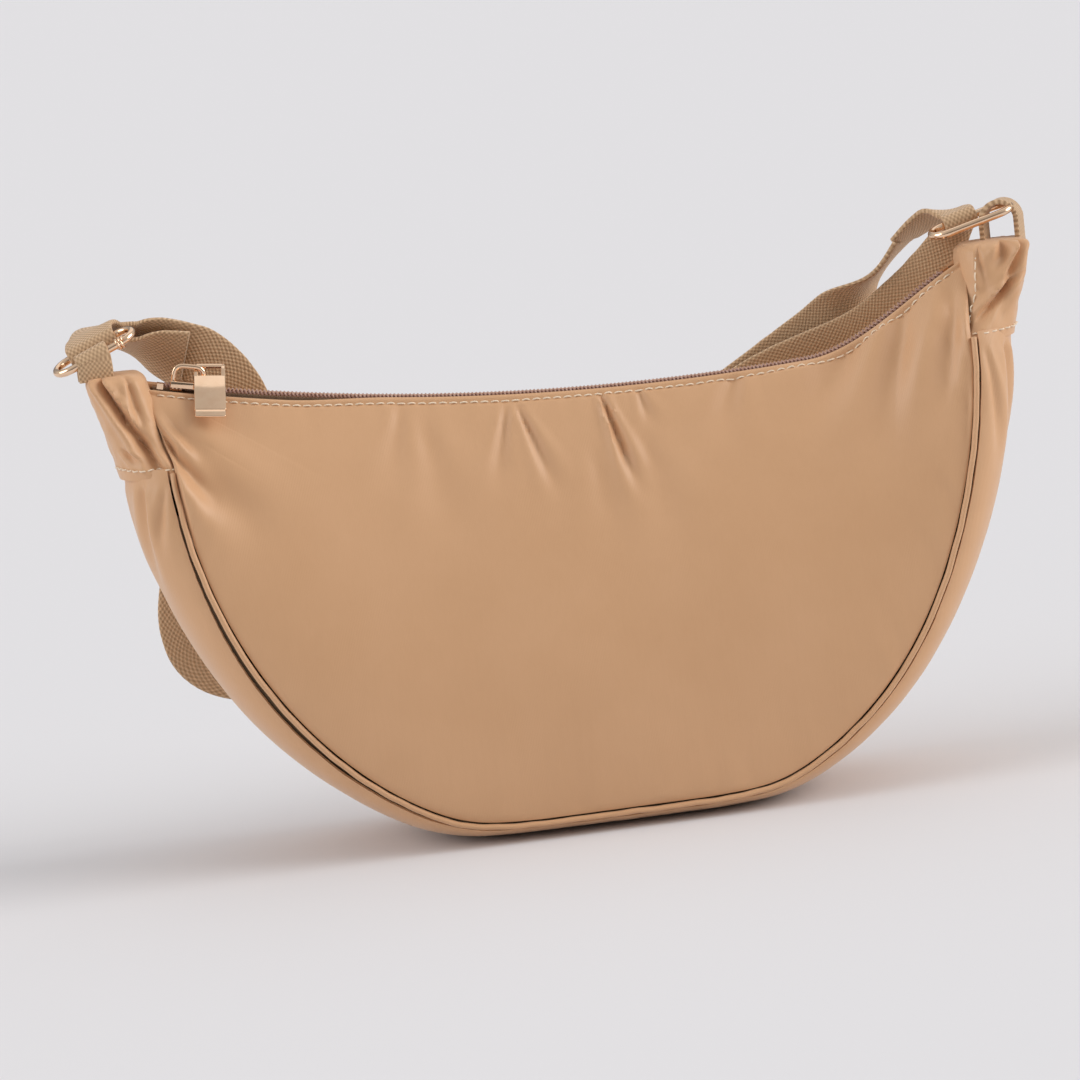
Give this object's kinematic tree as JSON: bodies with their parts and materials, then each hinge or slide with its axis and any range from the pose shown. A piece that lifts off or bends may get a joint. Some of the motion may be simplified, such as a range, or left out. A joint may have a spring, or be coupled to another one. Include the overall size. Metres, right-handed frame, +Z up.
{
  "type": "belt bag",
  "caption": "Half-moon belt bag with a curved top zip, padded end tabs, oval rings in webbing keepers and an adjustable webbing strap",
  "frame": {"origin": "centre of the whole part's box at the height of the bag's flat underside, on which it stands", "axes": "+X to the right along the bag's width, +Y to the back where the strap hangs, +Z up"},
  "size_m": [0.3458, 0.0854, 0.1992],
  "materials": {
    "nylon": "satin beige nylon with fine ribs",
    "lining_cloth": "plain woven lining",
    "tape_cloth": "woven zip tape",
    "coil_nylon": "brown-rose nylon coil",
    "webbing_cotton": "woven webbing, grey-brown",
    "rose_gold": "polished rose-gold plating"
  },
  "bodies": {
    "bag": {"back_lining": "lining_cloth", "back_panel": "nylon", "back_piping": "nylon", "back_zip_coil": "coil_nylon", "back_zip_tape": "tape_cloth", "front_lining": "lining_cloth", "front_panel": "nylon", "front_piping": "nylon", "front_zip_coil": "coil_nylon", "front_zip_tape": "tape_cloth", "gusset": "nylon", "gusset_lining": "lining_cloth", "left_keeper": "webbing_cotton", "left_tab": "nylon", "right_keeper": "webbing_cotton", "right_tab": "nylon", "shoulder_strap": "webbing_cotton", "zip_bottom_stop": "rose_gold", "zip_top_stop": "rose_gold"},
    "slider": {"zip_slider": "rose_gold"},
    "pull": {"zip_pull": "rose_gold"},
    "left_ring": {"left_ring": "rose_gold"},
    "right_ring": {"right_ring": "rose_gold"},
    "adjuster": {"strap_adjuster": "rose_gold"}
  },
  "joints": [
    {"name": "slider_travel", "type": "hinge", "parent": "bag", "child": "slider", "pos_m": [0.04335, -0.00475, 0.949], "axis": [0, -1, 0], "range_deg": [0, 15]},
    {"name": "pull_swing", "type": "hinge", "parent": "slider", "child": "pull", "pos_m": [-0.12204, -0.00475, 0.17159], "axis": [-0.9925, 0, 0.1219], "range_deg": [0, 85]},
    {"name": "left_ring_swing", "type": "hinge", "parent": "bag", "child": "left_ring", "pos_m": [-0.15748, -0.00811, 0.18225], "axis": [0.9272, 0, 0.3746], "range_deg": [-8, 60], "deforming": ["shoulder_strap"]},
    {"name": "right_ring_swing", "type": "hinge", "parent": "bag", "child": "right_ring", "pos_m": [0.16547, -0.00075, 0.19444], "axis": [0, 1, 0], "range_deg": [-12, 20], "deforming": ["shoulder_strap"]},
    {"name": "adjuster_slide", "type": "slide", "parent": "bag", "child": "adjuster", "axis": [0.891, 0, 0.454], "range_m": [-0.02, 0.02], "deforming": ["shoulder_strap"]}
  ]
}
